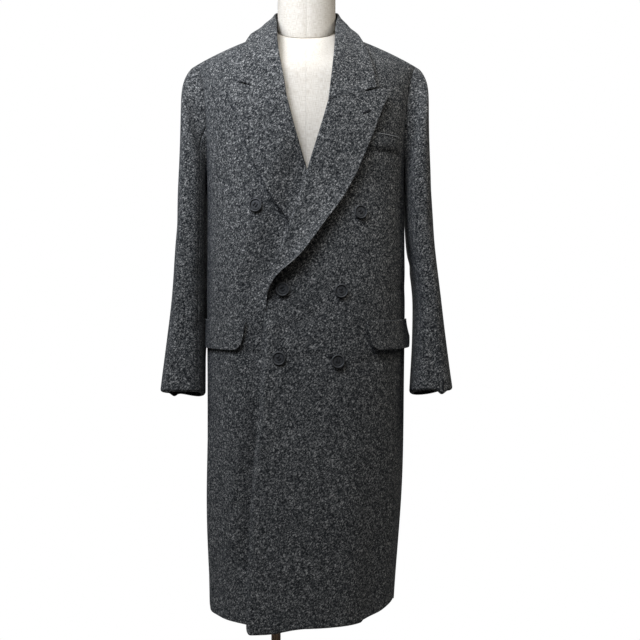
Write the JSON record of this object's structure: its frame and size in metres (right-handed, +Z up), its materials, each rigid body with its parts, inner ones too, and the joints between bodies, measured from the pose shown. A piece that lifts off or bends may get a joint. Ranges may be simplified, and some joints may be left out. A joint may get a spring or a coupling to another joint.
{
  "type": "chesterfield coat on a dress form",
  "caption": "Long double-breasted chesterfield coat in grey tweed, with peaked lapels and flap pockets, hanging on a limbless linen dress form with a pole and round base.",
  "frame": {"origin": "middle of the stand base's flat underside", "axes": "+Z up, the wearer faces -Y, +X towards the wearer's left side"},
  "size_m": [0.5565, 0.4, 1.5694],
  "materials": {
    "tweed": "melange wool tweed, brushed, matte",
    "linen": "plain natural linen, stretched smooth",
    "button_plastic": "satin dark grey",
    "pole_wood": "stained and waxed",
    "base_paint": "black powder coat"
  },
  "bodies": {
    "root": {"front_left": "tweed", "front_right": "tweed", "back": "tweed", "sleeve_top_left": "tweed", "sleeve_under_left": "tweed", "sleeve_top_right": "tweed", "sleeve_under_right": "tweed", "lapel_left": "tweed", "lapel_right": "tweed", "collar": "tweed", "flap_left": "tweed", "flap_right": "tweed", "breast_welt": "tweed", "button_1": "button_plastic", "button_2": "button_plastic", "button_3": "button_plastic", "button_4": "button_plastic", "button_5": "button_plastic", "button_6": "button_plastic", "form_torso": "linen", "form_neck": "linen", "stand_pole": "pole_wood", "stand_base": "base_paint"}
  },
  "joints": []
}
